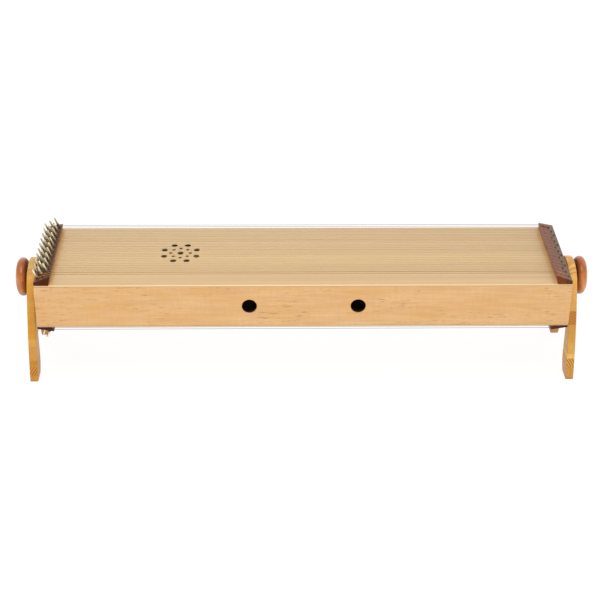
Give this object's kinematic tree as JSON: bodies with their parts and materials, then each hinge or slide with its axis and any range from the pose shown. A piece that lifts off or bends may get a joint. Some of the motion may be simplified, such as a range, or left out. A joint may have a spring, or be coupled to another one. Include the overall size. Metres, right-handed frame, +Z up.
{
  "type": "monochord",
  "caption": "Long shallow sound box strung on both faces, with wedge blocks and tuning pins, turning between two arched legs clamped by round end knobs.",
  "frame": {"origin": "on the floor under the middle of the sound box, level with the feet", "axes": "+X along the strings towards the hitch pins, +Y to the rear, +Z up"},
  "size_m": [1.32, 0.28, 0.2986],
  "materials": {
    "spruce": "satin oiled spruce, fine grain",
    "light_wood": "satin light hardwood",
    "inner_wood": "bare planed wood",
    "dark_hardwood": "satin dark hardwood",
    "leg_wood": "satin golden hardwood",
    "red_wood": "polished reddish hardwood",
    "nickel": "nickel-plated steel",
    "string_steel": "bright steel wire",
    "brass": "turned brass"
  },
  "bodies": {
    "soundbox": {"bottom_front_lining": "inner_wood", "bottom_hitch_block": "dark_hardwood", "bottom_left_brace": "inner_wood", "bottom_pin_block": "dark_hardwood", "bottom_rear_lining": "inner_wood", "bottom_right_brace": "inner_wood", "bottom_soundboard": "spruce", "bottom_wire_01": "string_steel", "bottom_wire_02": "string_steel", "bottom_wire_03": "string_steel", "bottom_wire_04": "string_steel", "bottom_wire_05": "string_steel", "bottom_wire_06": "string_steel", "bottom_wire_07": "string_steel", "bottom_wire_08": "string_steel", "bottom_wire_09": "string_steel", "bottom_wire_10": "string_steel", "bottom_wire_11": "string_steel", "bottom_wire_12": "string_steel", "bottom_wire_13": "string_steel", "bottom_wire_14": "string_steel", "bottom_wire_15": "string_steel", "front_side": "light_wood", "left_end_block": "inner_wood", "left_insert": "brass", "left_spacer": "red_wood", "rear_side": "light_wood", "right_end_block": "inner_wood", "right_insert": "brass", "right_spacer": "red_wood", "top_front_lining": "inner_wood", "top_hitch_block": "dark_hardwood", "top_left_brace": "inner_wood", "top_pin_block": "dark_hardwood", "top_rear_lining": "inner_wood", "top_right_brace": "inner_wood", "top_soundboard": "spruce", "top_wire_01": "string_steel", "top_wire_02": "string_steel", "top_wire_03": "string_steel", "top_wire_04": "string_steel", "top_wire_05": "string_steel", "top_wire_06": "string_steel", "top_wire_07": "string_steel", "top_wire_08": "string_steel", "top_wire_09": "string_steel", "top_wire_10": "string_steel", "top_wire_11": "string_steel", "top_wire_12": "string_steel", "top_wire_13": "string_steel", "top_wire_14": "string_steel", "top_wire_15": "string_steel"},
    "left_leg": {"left_leg": "leg_wood"},
    "left_washer": {"left_washer": "nickel"},
    "left_knob": {"left_bolt": "nickel", "left_knob": "red_wood"},
    "right_leg": {"right_leg": "leg_wood"},
    "right_washer": {"right_washer": "nickel"},
    "right_knob": {"right_bolt": "nickel", "right_knob": "red_wood"}
  },
  "joints": [
    {"name": "left_leg_turn", "type": "hinge", "parent": "soundbox", "child": "left_leg", "pos_m": [-0.6, 0, 0.209], "axis": [1, 0, 0], "continuous": true},
    {"name": "left_washer_slide", "type": "slide", "parent": "soundbox", "child": "left_washer", "axis": [-1, 0, 0], "range_m": [0, 0.0045]},
    {"name": "left_knob_turn", "type": "hinge", "parent": "left_washer", "child": "left_knob", "pos_m": [-0.6, 0, 0.209], "axis": [-1, 0, 0], "range_deg": [0, 1080]},
    {"name": "right_leg_turn", "type": "hinge", "parent": "soundbox", "child": "right_leg", "pos_m": [0.6, 0, 0.209], "axis": [1, 0, 0], "continuous": true},
    {"name": "right_washer_slide", "type": "slide", "parent": "soundbox", "child": "right_washer", "axis": [1, 0, 0], "range_m": [0, 0.0045]},
    {"name": "right_knob_turn", "type": "hinge", "parent": "right_washer", "child": "right_knob", "pos_m": [0.6, 0, 0.209], "axis": [1, 0, 0], "range_deg": [0, 1080]}
  ],
  "couplings": [
    {"joint": "left_washer_slide", "follows": "left_knob_turn", "m_per_rad": 0.00023873},
    {"joint": "right_washer_slide", "follows": "right_knob_turn", "m_per_rad": 0.00023873}
  ]
}
